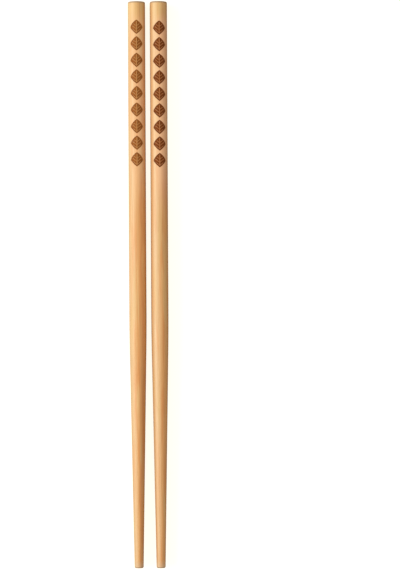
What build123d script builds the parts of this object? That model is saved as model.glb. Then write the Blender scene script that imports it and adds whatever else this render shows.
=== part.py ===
from build123d import *
import os

# Pair of tapered bamboo chopsticks, lying side by side, each with a column of
# leaves burnt into its upper side. Millimetres. The sticks lie along Y with
# their butt ends at +Y, their straight shanks rest on the plane Z = 0, and the
# origin is under the middle of the pair.

# The turned stick
stick_length = 240.0
shank_diameter = 7.3
shank_length = 139.5  # from the butt end to the corner where the taper begins
tip_diameter = 3.8
shoulder_radius = 1000.0  # the long blend that takes that corner off
butt_edge_radius = 0.6
tip_edge_radius = 0.5

# The pair
gap_between_shanks = 2.0

# The burnt leaf, seen from above, with its point towards the butt end
leaf_length = 6.0
leaf_width = 5.0
leaf_belly = 0.25  # from the middle of its length down to its widest place
leaf_upper_bulge = 0.42  # how far its upper sides bow out from straight lines
leaf_lower_bulge = 0.22
leaf_side_radius = 0.6
burn_depth = 0.2

# The veins, which keep the height of the stick's own surface
leaf_border = 0.4  # burnt all the way round the veins
midrib_width = 0.4
vein_width = 0.25
vein_pairs = 3
vein_pitch = 1.3
vein_rise = 38.0  # degrees, from straight across up towards the butt end

# The column of leaves on each stick
leaf_count = 9
leaf_pitch = 7.0
left_first_leaf = 10.9  # from the butt end to the middle of the first leaf
right_first_leaf = 11.3
left_roll = 1.0  # degrees that the stick is turned about its own length
right_roll = 6.0

shank_radius = shank_diameter / 2
tip_radius = tip_diameter / 2
stick_spacing = shank_diameter + gap_between_shanks
butt_end = stick_length / 2
tip_end = -stick_length / 2

# Outline of a leaf: four bowed sides between its points and its widest place
with BuildSketch() as leaf:
    with BuildLine():
        point = (0, leaf_length / 2)
        stalk = (0, -leaf_length / 2)
        right_side = (leaf_width / 2, -leaf_belly)
        left_side = (-leaf_width / 2, -leaf_belly)
        SagittaArc(point, right_side, leaf_upper_bulge)
        SagittaArc(right_side, stalk, leaf_lower_bulge)
        SagittaArc(stalk, left_side, leaf_lower_bulge)
        SagittaArc(left_side, point, leaf_upper_bulge)
    make_face()
    fillet(leaf.vertices().sort_by(Axis.X)[0], leaf_side_radius)
    fillet(leaf.vertices().sort_by(Axis.X)[-1], leaf_side_radius)

# Veins of a leaf: a midrib and rising side veins, cut off inside the border
with BuildSketch() as veins:
    Rectangle(midrib_width, leaf_length)
    lowest_vein = -leaf_belly - vein_pitch * vein_pairs / 2
    for pair in range(vein_pairs):
        with Locations((0, lowest_vein + pair * vein_pitch)):
            for side in (vein_rise, 180 - vein_rise):
                Rectangle(
                    leaf_width,
                    vein_width,
                    rotation=side,
                    align=(Align.MIN, Align.CENTER),
                )
    add(offset(leaf.sketch, -leaf_border, mode=Mode.PRIVATE), mode=Mode.INTERSECT)

# What is burnt away, from above
with BuildSketch() as burn:
    add(leaf.sketch)
    add(veins.sketch, mode=Mode.SUBTRACT)


def chopstick(label, across, first_leaf, roll):
    """One stick, its length over X = across, with its leaves turned by roll about it."""
    seen_from_above = Plane((across, 0, shank_radius))
    turned = seen_from_above.rotated((0, roll, 0))

    # The cutter: the column of leaves, down to burn_depth under the round surface
    with BuildPart() as leaves:
        with BuildSketch(turned):
            for index in range(leaf_count):
                with Locations((0, butt_end - first_leaf - index * leaf_pitch)):
                    add(burn.sketch)
        extrude(amount=shank_diameter)
        with Locations(seen_from_above):
            Cylinder(
                shank_radius - burn_depth,
                stick_length,
                rotation=(90, 0, 0),
                mode=Mode.SUBTRACT,
            )

    # The turned stick, with the leaves burnt in
    with BuildPart() as stick:
        with BuildSketch(seen_from_above) as profile:
            with BuildLine():
                Polyline(
                    (0, butt_end),
                    (shank_radius, butt_end),
                    (shank_radius, butt_end - shank_length),
                    (tip_radius, tip_end),
                    (0, tip_end),
                    close=True,
                )
            make_face()
            rims = profile.vertices().sort_by(Axis.X)[2:]  # all but the axis's ends
            tip_rim, shoulder, butt_rim = rims.sort_by(Axis.Y)
            fillet(butt_rim, butt_edge_radius)
            fillet(shoulder, shoulder_radius)
            fillet(tip_rim, tip_edge_radius)
        revolve(axis=Axis((across, 0, shank_radius), (0, 1, 0)))
        add(leaves.part, mode=Mode.SUBTRACT)
    stick.part.label = label
    export_step(stick.part, f"parts/{label}.step")
    return stick.part


os.makedirs("parts", exist_ok=True)
chopstick("chopstick_left", -stick_spacing / 2, left_first_leaf, left_roll)
chopstick("chopstick_right", stick_spacing / 2, right_first_leaf, right_roll)
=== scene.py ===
import math

import bpy
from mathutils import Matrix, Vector


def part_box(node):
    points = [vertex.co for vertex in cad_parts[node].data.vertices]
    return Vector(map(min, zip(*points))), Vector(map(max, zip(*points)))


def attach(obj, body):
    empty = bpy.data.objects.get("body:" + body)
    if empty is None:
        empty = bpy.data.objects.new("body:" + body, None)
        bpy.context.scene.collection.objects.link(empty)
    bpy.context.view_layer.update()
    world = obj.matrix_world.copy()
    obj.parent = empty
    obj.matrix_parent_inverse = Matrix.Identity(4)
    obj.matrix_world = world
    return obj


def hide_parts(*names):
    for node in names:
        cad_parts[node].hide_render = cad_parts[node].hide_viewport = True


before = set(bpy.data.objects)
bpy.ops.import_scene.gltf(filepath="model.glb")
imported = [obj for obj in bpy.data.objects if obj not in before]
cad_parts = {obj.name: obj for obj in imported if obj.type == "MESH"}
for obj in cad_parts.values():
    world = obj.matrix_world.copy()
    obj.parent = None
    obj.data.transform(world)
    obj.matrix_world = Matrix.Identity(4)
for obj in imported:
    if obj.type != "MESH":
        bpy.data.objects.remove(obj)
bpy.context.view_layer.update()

MM = 0.001


# The turned stick
# One length of bamboo, rounded on a lathe and sanded smooth. It has a straight shank,
# a long blend into a straight taper, and rims eased at both ends.
STICK_LENGTH = 240
SHANK_RADIUS = 3.65
SHANK_LENGTH = 139.5
TIP_RADIUS = 1.9
SHOULDER_RADIUS = 1000
BUTT_EDGE_RADIUS = 0.6
TIP_EDGE_RADIUS = 0.5
ROUND_SIDES = 120
BLEND_STEPS = 8
BUTT_EDGE_STEPS = 6
TIP_EDGE_STEPS = 5
AT_END = 0.01  # a place this near an end lies on it
LANES = 3  # the texture map holds the stick in so many lengths, side by side
LANE_LENGTH = 80
BUTT_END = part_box("chopstick_left")[1].y / MM
TIP_END = BUTT_END - STICK_LENGTH
AXIS_HEIGHT = SHANK_RADIUS


def only(piece):
    """Makes piece the one selected and active object."""
    bpy.ops.object.select_all(action="DESELECT")
    piece.select_set(True)
    bpy.context.view_layer.objects.active = piece
    return piece


def settle():
    """Puts the active object's place, turn and scale into its mesh."""
    bpy.ops.object.transform_apply(location=True, rotation=True, scale=True)
    return bpy.context.object


def select_points(piece, wanted, mode="EDGE"):
    """In edit mode, selects the points that pass the test, or the edges between them."""
    bpy.ops.mesh.select_mode(type="VERT")
    bpy.ops.mesh.select_all(action="DESELECT")
    bpy.ops.object.mode_set(mode="OBJECT")
    for point in piece.data.vertices:
        point.select = wanted(point.co)
    bpy.ops.object.mode_set(mode="EDIT")
    bpy.ops.mesh.select_mode(type=mode)


def stick_rings():
    """(distance from the butt end, radius) of each ring of the stick, in order."""
    taper = math.atan2(SHANK_RADIUS - TIP_RADIUS, STICK_LENGTH - SHANK_LENGTH)
    blend_start = SHANK_LENGTH - SHOULDER_RADIUS * math.tan(taper / 2)
    rings = []
    for step in range(BLEND_STEPS + 1):
        turn = taper * step / BLEND_STEPS
        along = blend_start + SHOULDER_RADIUS * math.sin(turn)
        rings.append((along, SHANK_RADIUS - SHOULDER_RADIUS * (1 - math.cos(turn))))
    blend_end, end_radius = rings[-1]
    rings += [(0, SHANK_RADIUS), (LANE_LENGTH, SHANK_RADIUS), (STICK_LENGTH, TIP_RADIUS)]
    share = (2 * LANE_LENGTH - blend_end) / (STICK_LENGTH - blend_end)
    rings.append((2 * LANE_LENGTH, end_radius + (TIP_RADIUS - end_radius) * share))
    return sorted(rings)


def turned_stick(name, across):
    """A plain stick: its butt disc is extruded from ring to ring, then both rims are eased."""
    bpy.ops.object.select_all(action="DESELECT")
    bpy.ops.mesh.primitive_circle_add(
        vertices=ROUND_SIDES,
        radius=SHANK_RADIUS,
        fill_type="NGON",
        calc_uvs=False,
        location=(across, BUTT_END, AXIS_HEIGHT),
        rotation=(math.pi / 2, 0, 0),
    )
    stick = settle()
    stick.name = stick.data.name = name
    bpy.ops.object.mode_set(mode="EDIT")
    bpy.ops.mesh.select_mode(type="EDGE")
    bpy.ops.mesh.select_all(action="SELECT")
    rings = stick_rings()
    for (here, wide), (there, narrow) in zip(rings, rings[1:]):
        bpy.ops.mesh.extrude_region_move(
            TRANSFORM_OT_translate={"value": (0, here - there, 0)}
        )
        bpy.ops.transform.resize(
            value=(narrow / wide,) * 3,
            center_override=(across, BUTT_END - there, AXIS_HEIGHT),
        )
    select_points(stick, lambda point: point.y > BUTT_END - AT_END)
    bpy.ops.mesh.bevel(offset=BUTT_EDGE_RADIUS, segments=BUTT_EDGE_STEPS)
    select_points(stick, lambda point: point.y < TIP_END + AT_END)
    bpy.ops.mesh.bevel(offset=TIP_EDGE_RADIUS, segments=TIP_EDGE_STEPS)
    bpy.ops.mesh.select_all(action="SELECT")
    bpy.ops.mesh.normals_make_consistent(inside=False)
    bpy.ops.object.mode_set(mode="OBJECT")
    return stick


# The burnt leaf
# A laser burns each leaf into the round of the shank to one depth, with walls that
# lean in a little. The leaf's midrib and side veins are left standing.
LEAF_LENGTH = 6.0
LEAF_WIDTH = 5.0
LEAF_BELLY = 0.25
LEAF_UPPER_BULGE = 0.42
LEAF_LOWER_BULGE = 0.22
LEAF_SIDE_ROUNDING = 0.24
LEAF_SIDE_STEPS = 4
SAME_PLACE = 0.001  # points this close are one point
LEAF_BORDER = 0.4
MIDRIB_WIDTH = 0.4
VEIN_WIDTH = 0.25
VEIN_PAIRS = 3
VEIN_PITCH = 1.3
VEIN_RISE = math.radians(38)
BURN_DEPTH = 0.2
WALL_LEAN = 0.3  # how far a wall leans in for its height
ABOVE = 0.1  # how far the leaf's cutting shape stands out of the surface
SPARE = 0.05  # how much further each of the veins' shapes reaches, up and down
ARC_STEPS = 12
WRAP_STEP = 0.2


def bowed_side(start, end, bulge):
    """Spins the selected point from start to end along an arc that bows out by bulge."""
    chord = end - start
    radius = (chord.length_squared / 4 + bulge**2) / (2 * bulge)
    outward = Vector((-chord.y, chord.x)).normalized()
    centre = (start + end) / 2 - outward * (radius - bulge)
    bpy.ops.mesh.spin(
        steps=ARC_STEPS,
        angle=4 * math.atan(2 * bulge / chord.length),
        center=(centre.x, centre.y, 0),
        axis=(0, 0, 1),
    )


def leaf_face(name, rounded):
    """A flat leaf on the origin with its point towards +Y, left in edit mode."""
    bpy.ops.object.select_all(action="DESELECT")
    bpy.ops.mesh.primitive_plane_add(size=LEAF_WIDTH, calc_uvs=False, location=(0, 0, 0))
    leaf = bpy.context.object
    leaf.name = name
    point = Vector((0, LEAF_LENGTH / 2))
    stalk = Vector((0, -LEAF_LENGTH / 2))
    right = Vector((LEAF_WIDTH / 2, -LEAF_BELLY))
    left = Vector((-LEAF_WIDTH / 2, -LEAF_BELLY))
    bpy.ops.object.mode_set(mode="EDIT")
    bpy.ops.mesh.select_mode(type="VERT")
    bpy.ops.mesh.select_all(action="SELECT")
    bpy.ops.mesh.merge(type="CENTER")
    bpy.ops.transform.translate(value=(0, point.y, 0))
    bowed_side(point, right, LEAF_UPPER_BULGE)
    bowed_side(right, stalk, LEAF_LOWER_BULGE)
    bowed_side(stalk, left, LEAF_LOWER_BULGE)
    bowed_side(left, point, LEAF_UPPER_BULGE)
    bpy.ops.mesh.select_all(action="SELECT")
    bpy.ops.mesh.remove_doubles(threshold=SAME_PLACE)
    bpy.ops.mesh.edge_face_add()
    if rounded:
        widest = LEAF_WIDTH / 2 - SAME_PLACE
        select_points(leaf, lambda point: abs(point.x) > widest, "VERT")
        bpy.ops.mesh.bevel(
            offset=LEAF_SIDE_ROUNDING, segments=LEAF_SIDE_STEPS, affect="VERTICES"
        )
    bpy.ops.mesh.select_mode(type="FACE")
    bpy.ops.mesh.select_all(action="SELECT")
    bpy.ops.mesh.normals_make_consistent(inside=False)
    return leaf


def raised(piece, low, high, spread):
    """Raises the face being edited to a solid, its outline growing by spread with height."""
    bpy.ops.transform.translate(value=(0, 0, low))
    start, end = (1 + 2 * spread * height / LEAF_WIDTH for height in (low, high))
    bpy.ops.transform.resize(value=(start, start, 1), center_override=(0, 0, low))
    bpy.ops.mesh.extrude_region_move(TRANSFORM_OT_translate={"value": (0, 0, high - low)})
    end /= start
    bpy.ops.transform.resize(value=(end, end, 1), center_override=(0, 0, high))
    bpy.ops.mesh.select_all(action="SELECT")
    bpy.ops.mesh.normals_make_consistent(inside=False)
    bpy.ops.object.mode_set(mode="OBJECT")
    return piece


def veins_limit():
    """The solid that the veins are trimmed to, inside the border, widening downwards."""
    limit = leaf_face("veins_limit", rounded=False)
    bpy.ops.mesh.inset(thickness=LEAF_BORDER)
    bpy.ops.mesh.select_all(action="INVERT")
    bpy.ops.mesh.delete(type="FACE")
    bpy.ops.mesh.select_all(action="SELECT")
    return raised(limit, -BURN_DEPTH - SPARE, ABOVE + SPARE, -WALL_LEAN)


def vein_bar(width, length, start, turn):
    """One straight vein, running from start in the direction of turn, widening downwards."""
    above = ABOVE + 2 * SPARE
    below = BURN_DEPTH + 2 * SPARE
    foot = width + 2 * WALL_LEAN * below
    bpy.ops.object.select_all(action="DESELECT")
    bpy.ops.mesh.primitive_cube_add(
        size=1,
        calc_uvs=False,
        location=(length / 2, 0, (above - below) / 2),
        scale=(length, foot, above + below),
    )
    vein = settle()
    bpy.ops.object.mode_set(mode="EDIT")
    select_points(vein, lambda point: point.z > 0)
    narrowing = (width - 2 * WALL_LEAN * above) / foot
    bpy.ops.transform.resize(value=(1, narrowing, 1), center_override=(0, 0, 0))
    bpy.ops.object.mode_set(mode="OBJECT")
    vein.rotation_euler = (0, 0, turn)
    vein.location = (*start, 0)
    return settle()


def carve(piece, tool, operation):
    """Cuts, trims or joins piece with the solid tool, which is used up."""
    only(piece)
    cut = piece.modifiers.new("carve", "BOOLEAN")
    cut.operation = operation
    cut.solver = "EXACT"
    cut.material_mode = "TRANSFER"
    cut.object = tool
    bpy.ops.object.modifier_apply(modifier=cut.name)
    bpy.data.objects.remove(tool)
    return piece


def leaf_cutter():
    """What is burnt away for one leaf, wrapped round a shank that lies along the origin."""
    veins = vein_bar(MIDRIB_WIDTH, LEAF_LENGTH, (0, -LEAF_LENGTH / 2), math.pi / 2)
    lowest = -LEAF_BELLY - VEIN_PITCH * VEIN_PAIRS / 2
    for pair in range(VEIN_PAIRS):
        for turn in (VEIN_RISE, math.pi - VEIN_RISE):
            start = (0, lowest + pair * VEIN_PITCH)
            carve(veins, vein_bar(VEIN_WIDTH, LEAF_WIDTH, start, turn), "UNION")
    carve(veins, veins_limit(), "INTERSECT")
    leaf = raised(leaf_face("leaf", rounded=True), -BURN_DEPTH, ABOVE, WALL_LEAN)
    cutter = carve(leaf, veins, "DIFFERENCE")
    bpy.ops.object.mode_set(mode="EDIT")
    reach = math.ceil(LEAF_WIDTH / 2 / WRAP_STEP)
    for line in range(-reach, reach + 1):
        bpy.ops.mesh.select_all(action="SELECT")
        bpy.ops.mesh.bisect(plane_co=(line * WRAP_STEP, 0, 0), plane_no=(1, 0, 0))
    bpy.ops.object.mode_set(mode="OBJECT")
    for point in cutter.data.vertices:
        turn = math.asin(point.co.x / SHANK_RADIUS)
        height = SHANK_RADIUS + point.co.z
        point.co.x = height * math.sin(turn)
        point.co.z = height * math.cos(turn)
    return cutter


# The finishes
# The bamboo is pale, oiled to a thin satin, with long darker bundles of fibre and fine
# pores. They show as dots of end grain at both ends, and the tips are worn paler. The
# burnt floors are dark brown, matt and lined by the laser's passes.
# The pale and deep sides are partly the bamboo's own colour and partly painted light and shade
# from the key light on the left
PALE_AND_LIT_SIDE = (0.72, 0.485, 0.245)
DEEP_AND_SHADED_SIDE = (0.80, 0.385, 0.122)
YELLOWISH = (0.72, 0.48, 0.19)
PINKISH = (0.92, 0.53, 0.31)
REDDISH = (0.73, 0.28, 0.075)
# also the colour of the painted shade on the flanks and the taper
BUNDLE_AND_SHADE_COLOUR = (0.46, 0.19, 0.055)
RIM_COLOUR = (0.34, 0.22, 0.13)
END_GRAIN = (0.26, 0.12, 0.045)
WORN_TIP = (0.62, 0.44, 0.26)

# Sizes of the bamboo's figure, across, along and up, in mm
WANDER_SIZE = (9, 70, 9)
WANDER_REACH = (1.6, 0, 1.6)  # how far the grain strays from straight
BUNDLE_SIZE = (0.9, 55, 0.9)
PORE_SIZE = (0.48, 60, 0.48)
PORE_SHIFT = (3, 0, 5)
FIBRE_SIZE = (0.16, 9, 0.16)
STREAK_SIZE = (1.2, 30, 1.2)
PATCH_SIZE = (3, 30, 3)
PATCH_SHIFT = (7, 0, 3)
BAMBOO_RELIEF = 0.03  # how far the fibres stand out

# Where each tint fades in, in mm: from the butt end, from the tip, or out of the axis
BUTT_FACE = (0.35, 0.05)
TIP_FACE = (0.3, 0.05)
YELLOW_BUTT = (12, 2)
ENGRAVED_START = (4, 10)
ENGRAVED_END = (95, 68)
# painted shade on the right side of the taper, from here towards the tip
TAPER_SHADE_SPAN = (130, 165)
TIP_WEAR = (4, 0.5)
BUTT_RIM = (1.0, 0.35)
BUTT_RIM_OUT = (2.7, 3.3)
TIP_RIM = (0.7, 0.2)
TIP_RIM_OUT = (1.1, 1.6)
SCORCH = (0.35, -0.15)  # from outside a leaf's edge to inside it

# The burnt floors' figure, in mm
CHAR_SIZE = (0.25, 1.6, 0.25)
LASER_PASS = 0.22
BURNT_RELIEF = 0.04  # how far the char and the laser's passes stand out

# How the sides of the scorched outline bow out, above and below its widest place
SCORCH_UPPER_BOW = 2.1
SCORCH_LOWER_BOW = 1.2
NOT_BELOW = 10  # keeps the scorch off the stick's underside


class Wire:
    """A value in a finish. Arithmetic on it adds Math nodes."""

    def __init__(self, finish, socket):
        self.finish = finish
        self.socket = socket

    def maths(self, operation, *values):
        return self.finish.node("Math", {"operation": operation}, dict(enumerate(values)))

    def output(self, name):
        """Another output of the same node."""
        return Wire(self.finish, self.socket.node.outputs[name])

    def __add__(self, other):
        return self.maths("ADD", self, other)

    def __radd__(self, other):
        return self.maths("ADD", other, self)

    def __sub__(self, other):
        return self.maths("SUBTRACT", self, other)

    def __rsub__(self, other):
        return self.maths("SUBTRACT", other, self)

    def __mul__(self, other):
        return self.maths("MULTIPLY", self, other)

    def __rmul__(self, other):
        return self.maths("MULTIPLY", other, self)

    def __truediv__(self, other):
        return self.maths("DIVIDE", self, other)

    def __rtruediv__(self, other):
        return self.maths("DIVIDE", other, self)

    def __abs__(self):
        return self.maths("ABSOLUTE", self)

    def root(self):
        return self.maths("SQRT", self)

    def sine(self):
        return self.maths("SINE", self)

    def rounded(self):
        return self.maths("ROUND", self)

    def at_most(self, other):
        return self.maths("MINIMUM", self, other)

    def at_least(self, other):
        return self.maths("MAXIMUM", self, other)

    def ramp(self, low, high):
        """0 below low and 1 above high, or the other way round if low is the larger."""
        values = {"Value": self, "From Min": low, "From Max": high}
        return self.finish.node("MapRange", {"interpolation_type": "SMOOTHSTEP"}, values)


class Finish:
    """A new material, with its nodes added one after another."""

    def __init__(self, name):
        self.material = bpy.data.materials.new(name)
        self.material.use_nodes = True
        self.tree = self.material.node_tree
        self.shader = self.tree.nodes["Principled BSDF"]

    def node(self, kind, settings, values, output=0):
        made = self.tree.nodes.new(f"ShaderNode{kind}")
        for name, setting in settings.items():
            setattr(made, name, setting)
        self.feed(made, values)
        return Wire(self, made.outputs[output])

    def feed(self, made, values):
        for name, value in values.items():
            if isinstance(value, Wire):
                self.tree.links.new(value.socket, made.inputs[name])
            elif isinstance(value, tuple) and len(value) < len(made.inputs[name].default_value):
                made.inputs[name].default_value = (*value, 1)
            else:
                made.inputs[name].default_value = value

    def mix(self, share, first, second):
        return self.node("Mix", {"data_type": "RGBA"}, {0: share, 6: first, 7: second}, output=2)

    def stretched(self, place, sizes, shift=(0, 0, 0)):
        """Coordinates in which a pattern's cells have these sizes, in the units of place."""
        values = {0: place, 1: tuple(1 / size for size in sizes), 2: shift}
        return self.node("VectorMath", {"operation": "MULTIPLY_ADD"}, values)

    def noise(self, place, detail=2.0, roughness=0.5):
        values = {"Vector": place, "Scale": 1, "Detail": detail, "Roughness": roughness}
        return self.node("TexNoise", {}, values)

    def cells(self, place):
        """Scattered cells: the distance to the middle of the nearest one."""
        settings = {"voronoi_dimensions": "3D"}
        return self.node("TexVoronoi", settings, {"Vector": place, "Scale": 1})

    def bump(self, strength, distance, height):
        values = {"Strength": strength, "Distance": distance * MM, "Height": height}
        return self.node("Bump", {}, values)


def place_in_mm(finish):
    """Object coordinates in millimetres: as a vector, and x, y and z on their own."""
    place = finish.node("TexCoord", {}, {}, output="Object")
    place = finish.node("VectorMath", {"operation": "SCALE"}, {0: place, "Scale": 1 / MM})
    parts = finish.node("SeparateXYZ", {}, {0: place})
    return place, *(parts.output(axis) for axis in "XYZ")


def leaf_edge(side, y, rise, own):
    """How far a place on the stick is outside its nearest leaf, straight across, in mm."""
    out = side * math.cos(own["roll"]) - rise * math.sin(own["roll"])
    up = side * math.sin(own["roll"]) + rise * math.cos(own["roll"])
    from_first = BUTT_END - own["first_leaf"] - y
    nearest = (from_first / LEAF_PITCH).rounded().at_least(0).at_most(LEAF_COUNT - 1)
    along = nearest * LEAF_PITCH - from_first
    half_length = LEAF_LENGTH / 2
    half_width = LEAF_WIDTH / 2
    upper = (half_length - along) / (half_length + LEAF_BELLY)
    lower = (half_length + along) / (half_length - LEAF_BELLY)
    upper = upper * (half_width + SCORCH_UPPER_BOW - upper * SCORCH_UPPER_BOW)
    lower = lower * (half_width + SCORCH_LOWER_BOW - lower * SCORCH_LOWER_BOW)
    outside = abs(out) - upper.at_most(lower)
    return outside + (0 - up).at_least(0) * NOT_BELOW


def bamboo_finish(name, across, own):
    """The bamboo of one stick, with its own tints, painted light and shade on its sides, its
    ends and the leaves' scorched edges.
    """
    finish = Finish(name)
    place, x, y, z = place_in_mm(finish)
    side = x - across
    rise = z - AXIS_HEIGHT
    outside = leaf_edge(side, y, rise, own)
    radius = (side * side + rise * rise).root()
    from_butt = BUTT_END - y
    from_tip = y - TIP_END
    end = from_butt.ramp(*BUTT_FACE).at_least(from_tip.ramp(*TIP_FACE))

    # From here on, side and rise are shares of the radius
    reach = radius.at_least(end * SHANK_RADIUS).at_least(0.5)
    side = side / reach
    rise = rise / reach

    # The figure of the wood
    wander = finish.noise(finish.stretched(place, WANDER_SIZE), detail=1).output("Color")
    grain = finish.node(
        "VectorMath", {"operation": "MULTIPLY_ADD"}, {0: wander, 1: WANDER_REACH, 2: place}
    )
    bundles = finish.cells(finish.stretched(grain, BUNDLE_SIZE))
    strength = finish.node("SeparateColor", {}, {0: bundles.output("Color")}).ramp(0.1, 1.0)
    bundle = bundles.ramp(0.34, 0.16) * strength
    pores = finish.cells(finish.stretched(grain, PORE_SIZE, PORE_SHIFT))
    pore = pores.ramp(0.4, 0.2) * (side * 0.4 + 0.6)
    fibre = finish.noise(finish.stretched(grain, FIBRE_SIZE), detail=3, roughness=0.6)
    streak = finish.noise(finish.stretched(grain, STREAK_SIZE), detail=2)
    patch = finish.noise(finish.stretched(grain, PATCH_SIZE, PATCH_SHIFT), detail=1)

    # Its colours: pale on the left, deep on the right, partly the bamboo's own denser side and
    # partly painted light and shade from the key light on the left; then what lies over both
    deep_and_shaded = (side * 0.75 - rise * 0.35 - own["pale_lit_reach"]).ramp(-0.85, 0)
    colour = finish.mix(deep_and_shaded, PALE_AND_LIT_SIDE, DEEP_AND_SHADED_SIDE)
    colour = finish.mix(patch.ramp(0.5, 0.7) * 0.5, colour, YELLOWISH)
    colour = finish.mix(streak.ramp(0.47, 0.62) * (deep_and_shaded * 0.45 + 0.25), colour, REDDISH)
    colour = finish.mix(fibre.ramp(0.32, 0.7) * 0.25, colour, BUNDLE_AND_SHADE_COLOUR)
    colour = finish.mix(from_butt.ramp(*YELLOW_BUTT) * 0.5, colour, YELLOWISH)
    colour = finish.mix(pore * (deep_and_shaded * 0.12 + 0.14), colour, BUNDLE_AND_SHADE_COLOUR)
    colour = finish.mix(bundle * (deep_and_shaded * 0.2 + 0.16), colour, BUNDLE_AND_SHADE_COLOUR)
    engraved = from_butt.ramp(*ENGRAVED_START) * from_butt.ramp(*ENGRAVED_END)
    engraved = engraved * side.ramp(-0.7, 0.2)
    colour = finish.mix(engraved * own["paleness"], colour, PINKISH)
    # Painted shade: the flanks darken at the far sides, and the right stick's left flank darkens
    # where the left stick shades it
    flank_shade = side.ramp(-0.5, -0.9) * own["left_flank_shade"]
    flank_shade = flank_shade.at_least(side.ramp(0.65, 0.95) * 0.42)
    # Painted shade: the right side of the taper darkens towards the tip
    taper = from_butt.ramp(*TAPER_SHADE_SPAN) * side.ramp(-0.1, 0.8)
    colour = finish.mix(flank_shade.at_least(taper * own["taper_shade"]), colour, BUNDLE_AND_SHADE_COLOUR)

    # The scorched edges and veins of the leaves, the end grain, and the worn ends
    scorch = outside.ramp(*SCORCH) * (fibre * 0.5 + 0.7)
    colour = finish.mix(scorch.at_most(1) * 0.92, colour, own["scorched"])
    colour = finish.mix(end * (pore * 0.5 + bundle * 0.3 + 0.2), colour, END_GRAIN)
    colour = finish.mix(from_tip.ramp(*TIP_WEAR) * 0.5, colour, WORN_TIP)
    rim = from_butt.ramp(*BUTT_RIM) * radius.ramp(*BUTT_RIM_OUT)
    rim = rim.at_least(from_tip.ramp(*TIP_RIM) * radius.ramp(*TIP_RIM_OUT))
    colour = finish.mix(rim * 0.75, colour, RIM_COLOUR)
    finish.feed(
        finish.shader,
        {
            "Base Color": colour,
            "Roughness": fibre * 0.16 + rim * 0.15 + 0.36,
            "Specular IOR Level": 0.35,
            "Normal": finish.bump(0.4, BAMBOO_RELIEF, fibre - bundle * 0.4 - pore * 0.5),
        },
    )
    return finish.material


def burnt_finish(name, own):
    """The burnt floors of one stick's leaves."""
    finish = Finish(name)
    place, _, y, _ = place_in_mm(finish)
    char = finish.noise(finish.stretched(place, CHAR_SIZE), detail=4, roughness=0.65)
    passes = (y * (2 * math.pi / LASER_PASS)).sine() * 0.5 + 0.5
    share = char.ramp(0.3, 0.75) * 0.7 + passes * 0.2
    colour = finish.mix(share, own["burnt"], own["charred"])
    bump = finish.bump(0.5, BURNT_RELIEF, char + passes * 0.5)
    finish.feed(
        finish.shader,
        {
            "Base Color": colour,
            "Roughness": char * 0.15 + 0.6,
            "Specular IOR Level": 0.15,
            "Normal": bump,
        },
    )
    return finish.material


# The pair
# Two like sticks lie side by side. Each has its own column of nine leaves, and is
# turned a little about its own length, so the leaves don't look straight up.
LEAF_COUNT = 9
LEAF_PITCH = 7.0
STICKS = {
    "chopstick_left": {
        "first_leaf": 10.9,  # from the butt end to the middle of the first leaf
        "roll": math.radians(1),  # how far the stick is turned about its own length
        # painted light: the pale side is partly lit colour from the key light on the left
        "pale_lit_reach": -0.06,  # how far the pale side comes round to the right
        # painted shade on the left flank
        "left_flank_shade": 0.0,  # how dark the left flank is
        # painted shade on the right side of the taper
        "taper_shade": 0.5,  # how dark the right side of the taper is
        "paleness": 0.3,  # how pale and pink the engraved stretch is
        "scorched": (0.42, 0.165, 0.03),
        "burnt": (0.37, 0.122, 0.018),
        "charred": (0.22, 0.062, 0.008),
    },
    "chopstick_right": {
        "first_leaf": 11.3,
        "roll": math.radians(6),
        "pale_lit_reach": 0.1,
        # painted shade on this flank, where the left stick shades it
        "left_flank_shade": 0.55,
        "taper_shade": 0.15,
        "paleness": 0.5,
        "scorched": (0.345, 0.095, 0.008),
        "burnt": (0.25, 0.064, 0.005),
        "charred": (0.125, 0.027, 0.002),
    },
}
SMOOTH_ANGLE = math.radians(35)  # sharper edges than this stay crisp
MAP_SPAN = 82  # the length that fills the texture map
MAP_MARGIN = 0.8
LANE_GAP = 0.5
DISC_ACROSS = 1.2  # the end discs' places on the map, in shank radii
BUTT_DISC_UP = 1.2
TIP_DISC_UP = 3.5


def burn_column(stick, across, own, finish):
    """Cuts the column of leaves into a stick."""
    column = leaf_cutter()
    column.data.materials.clear()
    column.data.materials.append(finish)
    only(column)
    array = column.modifiers.new("column", "ARRAY")
    array.count = LEAF_COUNT
    array.use_relative_offset = False
    array.use_constant_offset = True
    array.constant_offset_displace = (0, -LEAF_PITCH, 0)
    bpy.ops.object.modifier_apply(modifier=array.name)
    column.location = (across, BUTT_END - own["first_leaf"], AXIS_HEIGHT)
    column.rotation_euler = (0, own["roll"], 0)
    settle()
    carve(stick, column, "DIFFERENCE")


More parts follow.
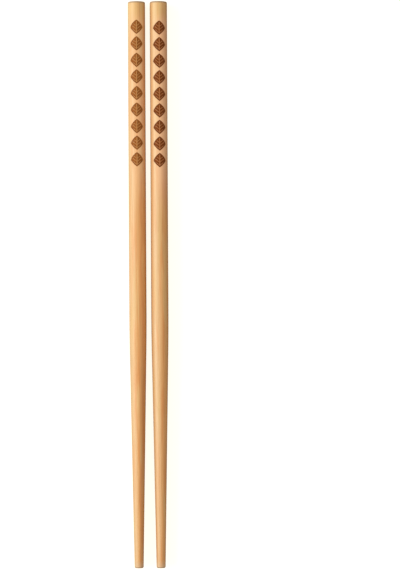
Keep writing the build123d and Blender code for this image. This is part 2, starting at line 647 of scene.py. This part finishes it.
def lay_out_map(stick, across):
    """The texture map: the stick's skin in three lengths, and its two end discs beside them."""
    mesh = stick.data
    layer = mesh.uv_layers.new(name="OFBake")
    girth = 2 * math.pi * SHANK_RADIUS
    for face in mesh.polygons:
        from_butt = BUTT_END - face.center.y
        is_end = from_butt < AT_END or from_butt > STICK_LENGTH - AT_END
        lane = min(int(from_butt / LANE_LENGTH), LANES - 1)
        middle = math.atan2(across - face.center.x, face.center.z - AXIS_HEIGHT)
        for corner in face.loop_indices:
            point = mesh.vertices[mesh.loops[corner].vertex_index].co
            side, rise = point.x - across, point.z - AXIS_HEIGHT
            along = BUTT_END - point.y
            if is_end:
                u = LANES * (girth + LANE_GAP) + DISC_ACROSS * SHANK_RADIUS + side
                v = (BUTT_DISC_UP if lane == 0 else TIP_DISC_UP) * SHANK_RADIUS + rise
            else:
                turn = math.atan2(-side, rise)
                turn += 2 * math.pi * round((middle - turn) / (2 * math.pi))
                u = (turn / (2 * math.pi) + 0.5) * girth + lane * (girth + LANE_GAP)
                radius = math.hypot(side, rise)
                v = along - lane * LANE_LENGTH
                if along < BUTT_EDGE_RADIUS:
                    v -= SHANK_RADIUS - radius
                elif along > STICK_LENGTH - TIP_EDGE_RADIUS:
                    v += TIP_RADIUS - radius
            layer.uv[corner].vector = ((u + MAP_MARGIN) / MAP_SPAN, (v + MAP_MARGIN) / MAP_SPAN)


for name, own in STICKS.items():
    low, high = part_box(name)
    across = (low.x + high.x) / 2 / MM
    stick = turned_stick(f"{name}_turned", across)
    stick.data.materials.append(bamboo_finish(f"{name}_bamboo", across, own))
    burn_column(stick, across, own, burnt_finish(f"{name}_burnt", own))
    only(stick)
    bpy.ops.object.shade_smooth_by_angle(angle=SMOOTH_ANGLE)
    lay_out_map(stick, across)
    stick.scale = (MM, MM, MM)
    settle()
    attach(stick, "root")
    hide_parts(name)


# The studio
# The pair lies on a white board under an even white dome, with one broad soft light
# low on the left. The camera looks straight down from about a metre.
CAMERA_HEIGHT = 1000 * MM
CAMERA_ACROSS = 21.73 * MM
CAMERA_ALONG = -0.15 * MM
CAMERA_LENS = 148.4
CAMERA_SENSOR = 36
CAMERA_TURN = math.radians(-0.289)

# Sizes and places of the board and the light, in metres
BOARD_SIZE = 6
KEY_HEIGHT = 0.51
KEY_LEFT = 0.78
KEY_BUTTWARDS = 0.2
KEY_WIDTH = 0.5
KEY_LENGTH = 1.2

# Colours and strengths
BOARD_COLOUR = (0.3, 0.3, 0.3)
GLOW_COLOUR = (1.0, 0.94, 0.82)
BOARD_GLOW = 0.96
DOME_LIGHT = 0.64
KEY_POWER = 9.2

bpy.ops.object.camera_add(
    location=(CAMERA_ACROSS, CAMERA_ALONG, CAMERA_HEIGHT), rotation=(0, 0, CAMERA_TURN)
)
camera = bpy.context.object
camera.data.sensor_width = CAMERA_SENSOR
camera.data.lens = CAMERA_LENS
bpy.context.scene.camera = camera

bpy.ops.mesh.primitive_plane_add(size=BOARD_SIZE, location=(0, 0, 0))
board = bpy.context.object
board.name = "board"
board_finish = Finish("board")
seen = board_finish.node("LightPath", {}, {}, output="Is Camera Ray")
board_finish.feed(
    board_finish.shader,
    {
        "Base Color": BOARD_COLOUR,
        "Roughness": 0.9,
        "Specular IOR Level": 0.0,
        "Emission Color": GLOW_COLOUR,
        "Emission Strength": seen * BOARD_GLOW,
    },
)
board.data.materials.append(board_finish.material)

bpy.ops.object.light_add(
    type="AREA",
    location=(-KEY_LEFT, KEY_BUTTWARDS, KEY_HEIGHT),
    rotation=(0, -math.atan2(KEY_LEFT, KEY_HEIGHT), 0),
)
key = bpy.context.object
key.data.shape = "RECTANGLE"
key.data.size = KEY_WIDTH
key.data.size_y = KEY_LENGTH
key.data.energy = KEY_POWER

world = bpy.data.worlds.new("dome")
bpy.context.scene.world = world
world.use_nodes = True
background = world.node_tree.nodes["Background"]
light_path = world.node_tree.nodes.new("ShaderNodeLightPath")
level = world.node_tree.nodes.new("ShaderNodeMapRange")
level.inputs["To Min"].default_value = DOME_LIGHT
level.inputs["To Max"].default_value = 1
world.node_tree.links.new(light_path.outputs["Is Camera Ray"], level.inputs["Value"])
world.node_tree.links.new(level.outputs["Result"], background.inputs["Strength"])
background.inputs["Color"].default_value = (1, 1, 1, 1)
bpy.context.scene.view_settings.view_transform = "Standard"
